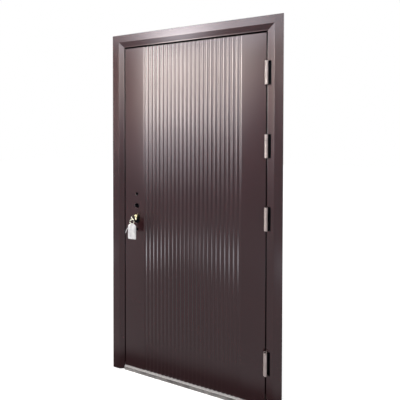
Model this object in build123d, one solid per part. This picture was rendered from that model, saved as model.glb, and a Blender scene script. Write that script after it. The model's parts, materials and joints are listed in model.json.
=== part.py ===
from build123d import *
import math
import os

# Steel security door in a pressed-steel frame, in millimetres.
# +X is to the right seen from the pull side, +Y goes into the wall, +Z is up.
# The origin is the middle of the threshold's underside.

# Frame
FRAME_WIDTH = 960.0
FRAME_HEIGHT = 2050.0
FRAME_DEPTH = 115.0
FRAME_SHEET = 1.5
FRAME_BEND = 0.8
CASING_RETURN = 15.0
CASING_FLAT = 43.0
BEVEL_WIDTH = 27.5
BEVEL_DEPTH = 10.0
LIP_WIDTH = 4.0
STOP_WIDTH = 20.0
BACK_FLANGE = 60.0
BACK_RETURN = 15.0

# Threshold
THRESHOLD_HEIGHT = 20.0
THRESHOLD_COVER = 1.5
THRESHOLD_WALL = 3.0
THRESHOLD_NOSE = 8.0

# Leaf
LEAF_GAP = 5.5
HEAD_GAP = 9.0
LEAF_RECESS = 12.0
LEAF_THICKNESS = 70.0
LOCK_EDGE_BEVEL = 5.0
SKIN = 1.2
STILE_SHEET = 2.5
STILE_FLANGE = 30.0
CAP_SHEET = 2.5

# Flutes pressed into both skins
FLUTE_COUNT = 24
FLUTE_PITCH = 23.3
FLUTE_DEPTH = 2.5
GROOVE_SHARE = 0.3

# Seal on the frame's stop
SEAL_WIDTH = 12.0
SEAL_CLEAR = 1.0
SEAL_INSET = 3.0

# Hinges, counted from the top
HINGE_TOP_INSET = 208.0
HINGE_BOTTOM_INSET = 229.0
HINGE_PLACES = (1.0, 0.75, 0.5, 0.0)
HINGE_LENGTH = 120.0
HINGE_RADIUS = 8.5
HINGE_PIN_RADIUS = 4.5
HINGE_PIN_CLEAR = 0.05
HINGE_PLATE = 2.5
HINGE_PLATE_DEPTH = 46.0
HINGE_STANDOFF = 2.5
KNUCKLE_SHARE = 0.25
KNUCKLE_GAP = 1.0
KNUCKLE_CLEAR = 1.5
NOTCH_WIDTH = 18.0
NOTCH_END_CLEAR = 2.0
GUARD_SHEET = 1.5
GUARD_MARGIN = 12.0
GUARD_DEPTH = 12.0

# Lock
LOCK_BACKSET = 75.0
SPINDLE_HEIGHT = 1016.0
SPINDLE_TO_KEY = 58.0
SPINDLE_HOLE_RADIUS = 15.0
FOLLOWER_RADIUS = 8.0
PLATE_BOLT_ABOVE = 71.5
PLATE_BOLT_SPACING = 215.0
PLATE_BOLT_RADIUS = 10.0
CASE_BOLT_RADIUS = 6.0
CASE_SOCKET_DEPTH = 8.0
CYLINDER_HOLE_WIDTH = 40.0
CYLINDER_HOLE_HEIGHT = 58.0
CYLINDER_HOLE_DROP = 10.0
LOCK_CASE_HEIGHT = 260.0
LOCK_CASE_WIDTH = 112.0
LOCK_CASE_DEPTH = 30.0
FOREND_WIDTH = 26.0
FOREND_LENGTH = 320.0
FOREND_SHEET = 3.0
LATCH_HEIGHT = 32.0
LATCH_DEPTH = 14.0
DEADBOLT_RADIUS = 8.0
DEADBOLT_STEP = 26.0
DEADBOLT_COUNT = 3
BOLT_LENGTH = 24.0
BOLT_SETBACK = 0.8
STRIKE_MARGIN = 2.0

# Cylinder, key and what hangs on it
CYLINDER_RADIUS = 8.5
CYLINDER_TAIL_WIDTH = 10.0
CYLINDER_HEIGHT = 33.0
CYLINDER_PROUD = 15.0
PLUG_RADIUS = 6.5
PLUG_CLEAR = 0.05
PLUG_LENGTH = 34.0
KEY_SHEET = 2.2
KEY_BLADE_HEIGHT = 8.0
KEY_BLADE_LENGTH = 28.0
KEY_NECK = 27.0
BOW_LENGTH = 35.0
BOW_HEIGHT = 32.0
BOW_CORNER = 12.0
BOW_HOLE_RADIUS = 4.0
BOW_HOLE_EDGE = 7.0
BOW_RIM_ROUND = 1.0
RING_RADIUS = 13.5
RING_WIRE = 1.0
RING_CLEAR = 0.3
BAG_WIDTH = 50.0
BAG_HEIGHT = 92.0
BAG_THICKNESS = 13.0
BAG_NECK = 8.0
TIE_RADIUS = 1.8
TIE_START = 11.0
TIE_REACH = 40.0
TIE_DROP = 48.0

# Places that follow from the sizes above
CASING_Y = -FRAME_DEPTH / 2
LIP_Y = CASING_Y + BEVEL_DEPTH
LEAF_FRONT_Y = CASING_Y + LEAF_RECESS
LEAF_BACK_Y = LEAF_FRONT_Y + LEAF_THICKNESS
STOP_Y = LEAF_BACK_Y + LEAF_GAP
BACK_Y = FRAME_DEPTH / 2
REBATE_INSET = CASING_FLAT + BEVEL_WIDTH + LIP_WIDTH
STOP_INSET = REBATE_INSET + STOP_WIDTH
REBATE_X = FRAME_WIDTH / 2 - REBATE_INSET
STOP_X = FRAME_WIDTH / 2 - STOP_INSET
LEAF_X = REBATE_X - LEAF_GAP
LEAF_TOP = FRAME_HEIGHT - REBATE_INSET - HEAD_GAP
LEAF_BOTTOM = THRESHOLD_HEIGHT + LEAF_GAP
INNER_FRONT_Y = LEAF_FRONT_Y + SKIN
INNER_BACK_Y = LEAF_BACK_Y - SKIN
FLUTED_X = FLUTE_COUNT * FLUTE_PITCH / 2
HINGE_X = REBATE_X + HINGE_PLATE - HINGE_RADIUS
HINGE_Y = LEAF_FRONT_Y - HINGE_RADIUS - HINGE_STANDOFF
HINGE_LOWEST = LEAF_BOTTOM + HINGE_BOTTOM_INSET
HINGE_SPAN = LEAF_TOP - HINGE_TOP_INSET - HINGE_LOWEST
HINGE_HEIGHTS = [HINGE_LOWEST + HINGE_SPAN * place for place in HINGE_PLACES]
LOCK_X = -LEAF_X + LOCK_BACKSET
KEY_HEIGHT = SPINDLE_HEIGHT - SPINDLE_TO_KEY
PLATE_BOLT_TOP = SPINDLE_HEIGHT + PLATE_BOLT_ABOVE
PLATE_BOLT_LOW = PLATE_BOLT_TOP - PLATE_BOLT_SPACING
CYLINDER_MIDDLE = KEY_HEIGHT + CYLINDER_RADIUS - CYLINDER_HEIGHT / 2
CYLINDER_HOLE_MIDDLE = CYLINDER_MIDDLE - CYLINDER_HOLE_DROP
LOCK_MIDDLE_Y = (LEAF_FRONT_Y + LEAF_BACK_Y) / 2
LOCK_CASE_MIDDLE = (PLATE_BOLT_TOP + PLATE_BOLT_LOW) / 2
CYLINDER_FRONT_Y = LEAF_FRONT_Y - CYLINDER_PROUD
BOW_FRONT_Y = CYLINDER_FRONT_Y - KEY_NECK - BOW_LENGTH
BOW_HOLE_Y = BOW_FRONT_Y + BOW_HOLE_EDGE
RING_PIVOT = KEY_HEIGHT - BOW_HOLE_RADIUS - BOW_RIM_ROUND
RING_MIDDLE = RING_PIVOT + BOW_RIM_ROUND + RING_CLEAR + RING_WIRE - RING_RADIUS
RING_BOTTOM = RING_MIDDLE - RING_RADIUS


def offset_path(path, amount):
    """The open path moved to its left by amount, with mitred corners."""
    normals = []
    for (x0, y0), (x1, y1) in zip(path, path[1:]):
        length = math.hypot(x1 - x0, y1 - y0)
        normals.append(((y0 - y1) / length, (x1 - x0) / length))
    before = [normals[0]] + normals
    after = normals + [normals[-1]]
    moved = []
    for (x, y), (ax, ay), (bx, by) in zip(path, before, after):
        scale = amount / (1 + ax * bx + ay * by)
        moved.append((x + (ax + bx) * scale, y + (ay + by) * scale))
    return moved


def polygon(points):
    """A flat face with these corners."""
    return make_face(Polyline(*points, close=True))


def rounded_line(path, radii):
    """Lines and arcs along an open path whose inner corners are rounded by these radii."""
    pieces = []
    start = Vector(*path[0])
    for before, here, after, radius in zip(path, path[1:], path[2:], radii):
        corner = Vector(*here)
        back = (Vector(*before) - corner).normalized()
        ahead = (Vector(*after) - corner).normalized()
        half_angle = math.acos(back.dot(ahead)) / 2
        reach = radius / math.tan(half_angle)
        middle = (back + ahead).normalized() * (radius / math.sin(half_angle) - radius)
        pieces.append(Line(start, corner + back * reach))
        pieces.append(ThreePointArc(corner + back * reach, corner + middle, corner + ahead * reach))
        start = corner + ahead * reach
    pieces.append(Line(start, Vector(*path[-1])))
    return pieces


def folded_sheet(path, thickness, bend):
    """The section of a folded sheet to the left of the path, its bends rounded by bend on the inside."""
    far_side = offset_path(path, thickness)
    near_radii, far_radii = [], []
    for (ax, ay), (bx, by), (cx, cy) in zip(path, path[1:], path[2:]):
        turns_left = (bx - ax) * (cy - by) > (by - ay) * (cx - bx)
        near_radii.append(bend + thickness if turns_left else bend)
        far_radii.append(bend if turns_left else bend + thickness)
    ends = [Line(path[0], far_side[0]), Line(path[-1], far_side[-1])]
    return make_face(rounded_line(path, near_radii) + rounded_line(far_side, far_radii) + ends)


def upright(section, bottom, top):
    """A plan section raised from bottom to top."""
    return extrude(Pos(0, 0, bottom) * section, top - bottom)


def box_between(low, high):
    """A box with these two opposite corners."""
    size = [b - a for a, b in zip(low, high)]
    middle = [(a + b) / 2 for a, b in zip(low, high)]
    return Pos(*middle) * Box(*size)


def rod_along_y(x, z, radius, y0, y1):
    """A round rod, or the tool for a hole, running along Y."""
    return Pos(x, (y0 + y1) / 2, z) * Rot(90, 0, 0) * Cylinder(radius, y1 - y0)


def rod_along_x(y, z, radius, x0, x1):
    """A round rod running along X."""
    return Pos((x0 + x1) / 2, y, z) * Rot(0, 90, 0) * Cylinder(radius, x1 - x0)


def rod_upright(x, y, radius, z0, z1):
    """A round rod running along Z."""
    return Pos(x, y, (z0 + z1) / 2) * Cylinder(radius, z1 - z0)


def lock_edge_x(y):
    """The leaf's slanted lock edge at depth y, narrower towards the back so that it swings clear."""
    return -LEAF_X + LOCK_EDGE_BEVEL * (y - LEAF_FRONT_Y) / LEAF_THICKNESS


def lock_edge_strip(y0, y1, inset0, inset1):
    """A plan face along the lock edge between two depths and two distances in from it."""
    return polygon(
        [
            (lock_edge_x(y0) + inset0, y0),
            (lock_edge_x(y1) + inset0, y1),
            (lock_edge_x(y1) + inset1, y1),
            (lock_edge_x(y0) + inset1, y0),
        ]
    )


# Frame members share one section, drawn as distance in from the outer edge and depth behind the casing.
FRAME_PATH = [
    (0, CASING_RETURN),
    (0, 0),
    (CASING_FLAT, 0),
    (CASING_FLAT + BEVEL_WIDTH, BEVEL_DEPTH),
    (REBATE_INSET, BEVEL_DEPTH),
    (REBATE_INSET, STOP_Y - CASING_Y),
    (STOP_INSET, STOP_Y - CASING_Y),
    (STOP_INSET, FRAME_DEPTH),
    (STOP_INSET - BACK_FLANGE, FRAME_DEPTH),
    (STOP_INSET - BACK_FLANGE, FRAME_DEPTH - BACK_RETURN),
]


def frame_members():
    """Hinge-side jamb, its mirror image and the head, mitred at the top corners."""
    section = folded_sheet(FRAME_PATH, FRAME_SHEET, FRAME_BEND)
    jamb_plane = Plane((FRAME_WIDTH / 2, CASING_Y, FRAME_HEIGHT), x_dir=(-1, 0, 0), z_dir=(0, 0, -1))
    head_plane = Plane((-FRAME_WIDTH / 2, CASING_Y, FRAME_HEIGHT), x_dir=(0, 0, -1), z_dir=(1, 0, 0))
    jamb = extrude(jamb_plane * section, FRAME_HEIGHT)
    head = extrude(head_plane * section, FRAME_WIDTH)
    half, reach = FRAME_WIDTH / 2, STOP_INSET + FRAME_SHEET
    mitre_plane = Plane((0, CASING_Y, 0), x_dir=(1, 0, 0), z_dir=(0, -1, 0))
    mitre_face = polygon(
        [
            (-half, FRAME_HEIGHT),
            (half, FRAME_HEIGHT),
            (half - reach, FRAME_HEIGHT - reach),
            (reach - half, FRAME_HEIGHT - reach),
        ]
    )
    head_zone = extrude(mitre_plane * mitre_face, -FRAME_DEPTH)
    jamb = jamb - head_zone
    return jamb, mirror(jamb, about=Plane.YZ), head & head_zone


def threshold_plan(front_y, back_y):
    """The threshold's plan between the jambs, its corners cut back from the jambs' bends."""
    right = [
        (REBATE_X, front_y),
        (REBATE_X, STOP_Y - FRAME_BEND),
        (REBATE_X - FRAME_BEND, STOP_Y),
        (STOP_X, STOP_Y),
        (STOP_X, back_y),
    ]
    left = [(-x, y) for x, y in right[::-1]]
    return polygon(right + left)


def threshold():
    """A stainless cover over a folded steel trough whose underside stands on the floor."""
    nose_y = LEAF_FRONT_Y - THRESHOLD_NOSE
    outer = upright(threshold_plan(nose_y, BACK_Y), 0, THRESHOLD_HEIGHT)
    inner_plan = threshold_plan(nose_y + THRESHOLD_COVER, BACK_Y - THRESHOLD_COVER)
    core = upright(inner_plan, 0, THRESHOLD_HEIGHT - THRESHOLD_COVER)
    wall = THRESHOLD_COVER + THRESHOLD_WALL
    hollow = box_between(
        (-FRAME_WIDTH / 2, nose_y + wall, THRESHOLD_WALL),
        (FRAME_WIDTH / 2, BACK_Y - wall, THRESHOLD_HEIGHT),
    )
    return core - hollow, outer - core


def seals():
    """Rubber seals on the stop: two uprights and one across the head between them."""
    height = LEAF_GAP - SEAL_CLEAR
    inner = STOP_X + SEAL_INSET
    section = make_face(
        Polyline((0, 0), (SEAL_WIDTH, 0))
        + ThreePointArc((SEAL_WIDTH, 0), (SEAL_WIDTH / 2, height), (0, 0))
    )
    side_plane = Plane((inner, STOP_Y, THRESHOLD_HEIGHT), x_dir=(1, 0, 0), z_dir=(0, 0, -1))
    head_low = FRAME_HEIGHT - STOP_INSET + SEAL_INSET
    head_plane = Plane((-inner, STOP_Y, head_low), x_dir=(0, 0, 1), z_dir=(1, 0, 0))
    hinge_side = extrude(side_plane * section, THRESHOLD_HEIGHT - head_low - SEAL_WIDTH)
    head = extrude(head_plane * section, 2 * inner)
    return hinge_side, mirror(hinge_side, about=Plane.YZ), head


def fluted_line(x_left, x_right, inset):
    """The fluted surface from left to right, inset behind the leaf's face, as joined arcs and lines."""
    slope = 2 * math.atan(2 * FLUTE_DEPTH / FLUTE_PITCH)
    both = FLUTE_PITCH / 2 / math.sin(slope)
    groove = both * GROOVE_SHARE + inset
    rib = both * (1 - GROOVE_SHARE) - inset
    rib_half = rib * math.sin(slope)
    rib_drop = rib * (1 - math.cos(slope))
    groove_half = groove * math.sin(slope)
    half_slope = slope / 2
    pieces = [Line((x_left, inset), (-FLUTED_X, inset))]
    for index in range(FLUTE_COUNT):
        crest = -FLUTED_X + index * FLUTE_PITCH
        middle = crest + FLUTE_PITCH / 2
        after = crest + FLUTE_PITCH
        crest_mid = (rib * math.sin(half_slope), inset + rib * (1 - math.cos(half_slope)))
        pieces.append(
            ThreePointArc(
                (crest, inset),
                (crest + crest_mid[0], crest_mid[1]),
                (crest + rib_half, inset + rib_drop),
            )
        )
        pieces.append(
            ThreePointArc(
                (middle - groove_half, inset + rib_drop),
                (middle, inset + FLUTE_DEPTH),
                (middle + groove_half, inset + rib_drop),
            )
        )
        pieces.append(
            ThreePointArc(
                (after - rib_half, inset + rib_drop),
                (after - crest_mid[0], crest_mid[1]),
                (after, inset),
            )
        )
    pieces.append(Line((FLUTED_X, inset), (x_right, inset)))
    return pieces


def skin_section(x_left, x_right):
    """The fluted skin's plan, its face at depth 0 and its inside behind it."""
    face = fluted_line(x_left, x_right, 0)
    inside = fluted_line(x_left, x_right, SKIN)
    ends = [Line((x_left, 0), (x_left, SKIN)), Line((x_right, 0), (x_right, SKIN))]
    return make_face(face + inside + ends)


def cap_section():
    """The plan between the two skins, which the caps fill."""
    depth = LEAF_THICKNESS
    front = fluted_line(lock_edge_x(INNER_FRONT_Y), LEAF_X, SKIN)
    back = [mirror(piece, about=Plane.XZ) for piece in fluted_line(lock_edge_x(INNER_BACK_Y), LEAF_X, SKIN)]
    back = [Pos(0, depth, 0) * piece for piece in back]
    ends = [
        Line((lock_edge_x(INNER_FRONT_Y), SKIN), (lock_edge_x(INNER_BACK_Y), depth - SKIN)),
        Line((LEAF_X, SKIN), (LEAF_X, depth - SKIN)),
    ]
    return Pos(0, LEAF_FRONT_Y, 0) * make_face(front + back + ends)


def lock_holes():
    """Tools for the holes through both skins: plate bolts, spindle and cylinder."""
    reach = (LEAF_FRONT_Y - LEAF_GAP, LEAF_BACK_Y + LEAF_GAP)
    tools = [
        rod_along_y(LOCK_X, PLATE_BOLT_TOP, PLATE_BOLT_RADIUS, *reach),
        rod_along_y(LOCK_X, PLATE_BOLT_LOW, PLATE_BOLT_RADIUS, *reach),
        rod_along_y(LOCK_X, SPINDLE_HEIGHT, SPINDLE_HOLE_RADIUS, *reach),
    ]
    slot = Rot(0, 0, 90) * SlotOverall(CYLINDER_HOLE_HEIGHT, CYLINDER_HOLE_WIDTH)
    plane = Plane((LOCK_X, reach[0], CYLINDER_HOLE_MIDDLE), x_dir=(1, 0, 0), z_dir=(0, -1, 0))
    tools.append(extrude(plane * slot, reach[0] - reach[1]))
    return tools


def cylinder_body(y0, y1):
    """The pear-shaped lock cylinder from y0 to y1."""
    tail = CYLINDER_HEIGHT - CYLINDER_RADIUS - CYLINDER_TAIL_WIDTH / 2
    section = Circle(CYLINDER_RADIUS)
    section += Pos(0, -tail / 2, 0) * Rectangle(CYLINDER_TAIL_WIDTH, tail)
    section += Pos(0, -tail, 0) * Circle(CYLINDER_TAIL_WIDTH / 2)
    plane = Plane((LOCK_X, y0, KEY_HEIGHT), x_dir=(1, 0, 0), z_dir=(0, -1, 0))
    return extrude(plane * section, y0 - y1)


def bolt_tools():
    """Latch bolt and deadbolts, drawn in behind the forend's face."""
    face = lock_edge_x(LOCK_MIDDLE_Y) + BOLT_SETBACK
    latch = box_between(
        (face, LOCK_MIDDLE_Y - LATCH_DEPTH / 2, SPINDLE_HEIGHT - LATCH_HEIGHT / 2),
        (face + BOLT_LENGTH, LOCK_MIDDLE_Y + LATCH_DEPTH / 2, SPINDLE_HEIGHT + LATCH_HEIGHT / 2),
    )
    heights = [KEY_HEIGHT + DEADBOLT_STEP * (i - (DEADBOLT_COUNT - 1) / 2) for i in range(DEADBOLT_COUNT)]
    rods = [rod_along_x(LOCK_MIDDLE_Y, z, DEADBOLT_RADIUS, face, face + BOLT_LENGTH) for z in heights]
    return latch, rods


def notch_guard(height, half, back_y):
    """The sheet angle welded inside the jamb behind a hinge notch, which keeps mortar off the knuckles."""
    wall_x = REBATE_X + FRAME_SHEET
    side_x = REBATE_X + NOTCH_WIDTH + GUARD_SHEET
    back = box_between((wall_x, back_y, height - half), (side_x, back_y + GUARD_SHEET, height + half))
    side = box_between(
        (side_x - GUARD_SHEET, back_y - GUARD_DEPTH + FRAME_SHEET, height - half),
        (side_x, back_y, height + half),
    )
    return back + side


def hinge(height):
    """One hinge at this height: frame leaf, pin, door leaf, guard and the tools for their seats."""
    half = HINGE_LENGTH / 2
    inner = half - HINGE_LENGTH * KNUCKLE_SHARE
    door_half = inner - KNUCKLE_GAP
    plate_back = HINGE_Y + HINGE_PLATE_DEPTH
    clear = HINGE_RADIUS + KNUCKLE_CLEAR

    frame_plate = box_between((REBATE_X, HINGE_Y, height - half), (REBATE_X + HINGE_PLATE, plate_back, height + half))
    frame_leaf = frame_plate - rod_upright(HINGE_X, HINGE_Y, clear, height - inner, height + inner)
    for z0, z1 in ((-half, -inner), (inner, half)):
        frame_leaf += rod_upright(HINGE_X, HINGE_Y, HINGE_RADIUS, height + z0, height + z1)
    pin = rod_upright(HINGE_X, HINGE_Y, HINGE_PIN_RADIUS, height - half, height + half)
    frame_leaf -= pin

    door_plate = box_between((LEAF_X - HINGE_PLATE, LEAF_FRONT_Y, height - half), (LEAF_X, plate_back, height + half))
    door_leaf = door_plate + rod_upright(HINGE_X, HINGE_Y, HINGE_RADIUS, height - door_half, height + door_half)
    door_leaf += box_between(
        (LEAF_X - HINGE_PLATE, HINGE_Y, height - door_half),
        (LEAF_X, LEAF_FRONT_Y, height + door_half),
    )
    bore = HINGE_PIN_RADIUS + HINGE_PIN_CLEAR
    door_leaf -= rod_upright(HINGE_X, HINGE_Y, bore, height - half, height + half)

    notch_half = half + NOTCH_END_CLEAR
    notch_back = LIP_Y + FRAME_SHEET + FRAME_BEND
    notch = box_between(
        (REBATE_X - LEAF_GAP / 2, CASING_Y, height - notch_half),
        (REBATE_X + NOTCH_WIDTH, notch_back, height + notch_half),
    )
    frame_seat = box_between(
        (REBATE_X - LEAF_GAP / 2, CASING_Y, height - half),
        (REBATE_X + HINGE_PLATE, plate_back, height + half),
    )
    guard = notch_guard(height, notch_half + GUARD_MARGIN, notch_back + GUARD_DEPTH) - frame_plate
    return frame_leaf, pin, door_leaf, guard, notch + frame_seat, door_plate


def key_and_plug():
    """The plug that the key turns, and the key in it with its bow upright."""
    bow = RectangleRounded(BOW_LENGTH, BOW_HEIGHT, BOW_CORNER)
    blade_length = KEY_NECK + KEY_BLADE_LENGTH + BOW_LENGTH / 2
    blade = Pos(blade_length / 2, 0, 0) * Rectangle(blade_length, KEY_BLADE_HEIGHT)
    hole = Pos(BOW_HOLE_EDGE - BOW_LENGTH / 2, 0, 0) * Circle(BOW_HOLE_RADIUS)
    plane = Plane((LOCK_X, BOW_FRONT_Y + BOW_LENGTH / 2, KEY_HEIGHT), x_dir=(0, 1, 0), z_dir=(1, 0, 0))
    key = extrude(plane * (bow + blade - hole), KEY_SHEET / 2, both=True)
    rim = key.edges().filter_by(GeomType.CIRCLE).group_by(SortBy.RADIUS)[0]
    key = fillet(rim, BOW_RIM_ROUND)
    plug = rod_along_y(LOCK_X, KEY_HEIGHT, PLUG_RADIUS - PLUG_CLEAR, CYLINDER_FRONT_Y, CYLINDER_FRONT_Y + PLUG_LENGTH)
    return key, plug - key


def hanging_bag():
    """The split ring in the bow's hole, the bag gathered round it and the bag's tie."""
    ring = Pos(LOCK_X, BOW_HOLE_Y, RING_MIDDLE) * Rot(90, 0, 0) * Torus(RING_RADIUS, RING_WIRE)
    neck_top = RING_BOTTOM + 3 * RING_WIRE
    stations = [
        (0.0, BAG_NECK, BAG_NECK / 2),
        (0.17, BAG_WIDTH * 0.82, BAG_THICKNESS * 0.6),
        (0.5, BAG_WIDTH, BAG_THICKNESS),
        (0.9, BAG_WIDTH * 0.98, BAG_THICKNESS * 0.6),
        (1.0, BAG_WIDTH * 0.9, BAG_THICKNESS * 0.25),
    ]
    sections = []
    for share, width, thickness in stations:
        corner = Pos(LOCK_X, BOW_HOLE_Y, neck_top - share * BAG_HEIGHT)
        sections.append(corner * RectangleRounded(width, thickness, thickness * 0.4))
    bag = loft(sections, ruled=True) - ring
    tie_start = neck_top - TIE_START
    path = Spline(
        (LOCK_X, BOW_HOLE_Y, tie_start),
        (LOCK_X - TIE_REACH * 0.6, BOW_HOLE_Y, tie_start - TIE_DROP * 0.35),
        (LOCK_X - TIE_REACH, BOW_HOLE_Y, tie_start - TIE_DROP),
    )
    tie = sweep(Plane(path @ 0, z_dir=path % 0) * Circle(TIE_RADIUS), path) - bag
    tie = tie.solids().sort_by(SortBy.VOLUME)[-1]
    return ring, bag, tie


def build():
    """Every piece by its name."""
    nodes = {}
    hinge_jamb, lock_jamb, head_jamb = frame_members()
    core, cover = threshold()
    seal_hinge_side, seal_lock_side, seal_head = seals()

    section = skin_section(-LEAF_X, LEAF_X)
    front_skin = upright(Pos(0, LEAF_FRONT_Y, 0) * section, LEAF_BOTTOM, LEAF_TOP)
    back_section = mirror(skin_section(lock_edge_x(LEAF_BACK_Y), LEAF_X), about=Plane.XZ)
    back_skin = upright(Pos(0, LEAF_BACK_Y, 0) * back_section, LEAF_BOTTOM, LEAF_TOP)
    for tool in lock_holes():
        front_skin -= tool
        back_skin -= tool

    flange_x = LEAF_X - STILE_SHEET - STILE_FLANGE
    hinge_path = [(flange_x, INNER_FRONT_Y), (LEAF_X, INNER_FRONT_Y), (LEAF_X, INNER_BACK_Y), (flange_x, INNER_BACK_Y)]
    lock_path = [
        (-flange_x, INNER_BACK_Y),
        (lock_edge_x(INNER_BACK_Y), INNER_BACK_Y),
        (lock_edge_x(INNER_FRONT_Y), INNER_FRONT_Y),
        (-flange_x, INNER_FRONT_Y),
    ]
    stile_bottom, stile_top = LEAF_BOTTOM + CAP_SHEET, LEAF_TOP - CAP_SHEET
    hinge_stile = upright(polygon(hinge_path + offset_path(hinge_path, STILE_SHEET)[::-1]), stile_bottom, stile_top)
    lock_stile = upright(polygon(lock_path + offset_path(lock_path, STILE_SHEET)[::-1]), stile_bottom, stile_top)
    cap = cap_section()

    latch, deadbolts = bolt_tools()
    forend_y = (LOCK_MIDDLE_Y - FOREND_WIDTH / 2, LOCK_MIDDLE_Y + FOREND_WIDTH / 2)
    forend_z = (LOCK_CASE_MIDDLE - FOREND_LENGTH / 2, LOCK_CASE_MIDDLE + FOREND_LENGTH / 2)
    case_y = (LOCK_MIDDLE_Y - LOCK_CASE_DEPTH / 2, LOCK_MIDDLE_Y + LOCK_CASE_DEPTH / 2)
    case_z = (LOCK_CASE_MIDDLE - LOCK_CASE_HEIGHT / 2, LOCK_CASE_MIDDLE + LOCK_CASE_HEIGHT / 2)
    forend = upright(lock_edge_strip(*forend_y, 0, FOREND_SHEET), *forend_z)
    lock_stile -= forend
    lock_case = upright(lock_edge_strip(*case_y, FOREND_SHEET, LOCK_CASE_WIDTH), *case_z)
    for bolt in [latch] + deadbolts:
        forend -= bolt
        lock_case -= bolt
    cylinder = cylinder_body(CYLINDER_FRONT_Y, LEAF_BACK_Y + CYLINDER_PROUD)
    lock_case -= cylinder
    sockets = [
        (SPINDLE_HEIGHT, FOLLOWER_RADIUS),
        (PLATE_BOLT_TOP, CASE_BOLT_RADIUS),
        (PLATE_BOLT_LOW, CASE_BOLT_RADIUS),
    ]
    for z, radius in sockets:
        lock_case -= rod_along_y(LOCK_X, z, radius, case_y[0], case_y[0] + CASE_SOCKET_DEPTH)
        lock_case -= rod_along_y(LOCK_X, z, radius, case_y[1] - CASE_SOCKET_DEPTH, case_y[1])
    cylinder -= rod_along_y(LOCK_X, KEY_HEIGHT, PLUG_RADIUS, CYLINDER_FRONT_Y, CYLINDER_FRONT_Y + PLUG_LENGTH)
    key, plug = key_and_plug()
    ring, bag, tie = hanging_bag()

    strike_z = (forend_z[0] + STRIKE_MARGIN, forend_z[1] - STRIKE_MARGIN)
    strike = box_between((-REBATE_X - FRAME_SHEET, forend_y[0], strike_z[0]), (-REBATE_X, forend_y[1], strike_z[1]))
    lock_jamb -= strike
    for bolt in [latch] + deadbolts:
        strike -= Pos(-BOLT_LENGTH, 0, 0) * bolt

    for number, height in enumerate(HINGE_HEIGHTS, start=1):
        frame_leaf, pin, door_leaf, guard, frame_seat, door_seat = hinge(height)
        hinge_jamb -= frame_seat
        front_skin -= door_seat
        hinge_stile -= door_seat
        nodes[f"hinge_{number}_frame_leaf"] = frame_leaf
        nodes[f"hinge_{number}_pin"] = pin
        nodes[f"hinge_{number}_door_leaf"] = door_leaf
        nodes[f"hinge_{number}_guard"] = guard

    nodes["lock_jamb"] = lock_jamb
    nodes["hinge_jamb"] = hinge_jamb
    nodes["head_jamb"] = head_jamb
    nodes["threshold_core"] = core
    nodes["threshold_plate"] = cover
    nodes["seal_lock_side"] = seal_lock_side
    nodes["seal_hinge_side"] = seal_hinge_side
    nodes["seal_head"] = seal_head
    nodes["strike_plate"] = strike
    nodes["front_skin"] = front_skin
    nodes["back_skin"] = back_skin
    nodes["lock_stile"] = lock_stile
    nodes["hinge_stile"] = hinge_stile
    nodes["top_cap"] = upright(cap, LEAF_TOP - CAP_SHEET, LEAF_TOP)
    nodes["bottom_cap"] = upright(cap, LEAF_BOTTOM, LEAF_BOTTOM + CAP_SHEET)
    nodes["lock_case"] = lock_case
    nodes["lock_forend"] = forend
    nodes["latch_bolt"] = latch
    nodes["deadbolts"] = Compound(deadbolts)
    nodes["lock_cylinder"] = cylinder
    nodes["cylinder_plug"] = plug
    nodes["key"] = key
    nodes["split_ring"] = ring
    nodes["key_bag"] = bag
    nodes["bag_tie"] = tie
    return nodes


os.makedirs("parts", exist_ok=True)
for name, shape in build().items():
    export_step(shape, f"parts/{name}.step")
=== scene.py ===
import json
import math

import bmesh
import bpy
from mathutils import Matrix, Vector, noise

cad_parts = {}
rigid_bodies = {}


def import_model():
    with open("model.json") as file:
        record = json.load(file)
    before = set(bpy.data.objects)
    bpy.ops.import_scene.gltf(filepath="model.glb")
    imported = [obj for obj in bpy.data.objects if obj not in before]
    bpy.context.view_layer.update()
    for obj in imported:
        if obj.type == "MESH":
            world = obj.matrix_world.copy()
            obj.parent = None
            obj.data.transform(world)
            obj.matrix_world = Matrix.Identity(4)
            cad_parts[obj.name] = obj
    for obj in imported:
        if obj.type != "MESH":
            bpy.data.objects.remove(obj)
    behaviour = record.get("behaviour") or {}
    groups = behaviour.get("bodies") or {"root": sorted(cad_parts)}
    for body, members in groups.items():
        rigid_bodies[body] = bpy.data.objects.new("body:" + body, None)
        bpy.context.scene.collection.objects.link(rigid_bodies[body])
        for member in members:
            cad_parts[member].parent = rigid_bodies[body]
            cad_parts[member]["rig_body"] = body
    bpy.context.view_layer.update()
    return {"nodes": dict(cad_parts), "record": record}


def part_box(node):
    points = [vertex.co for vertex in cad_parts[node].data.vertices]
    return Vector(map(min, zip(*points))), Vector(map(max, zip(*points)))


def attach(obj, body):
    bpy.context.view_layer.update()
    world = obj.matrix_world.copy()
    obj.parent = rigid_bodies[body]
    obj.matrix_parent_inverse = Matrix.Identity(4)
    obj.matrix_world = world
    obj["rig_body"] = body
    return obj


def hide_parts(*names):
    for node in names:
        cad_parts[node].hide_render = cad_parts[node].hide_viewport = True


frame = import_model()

NODES = frame["nodes"]
NODE_SLOTS = {part["node"]: part["material_slot"] for part in frame["record"]["subparts"]}
HINGE_NAMES = [f"hinge_{number}" for number in range(1, 5)]
MM = 0.001

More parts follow.
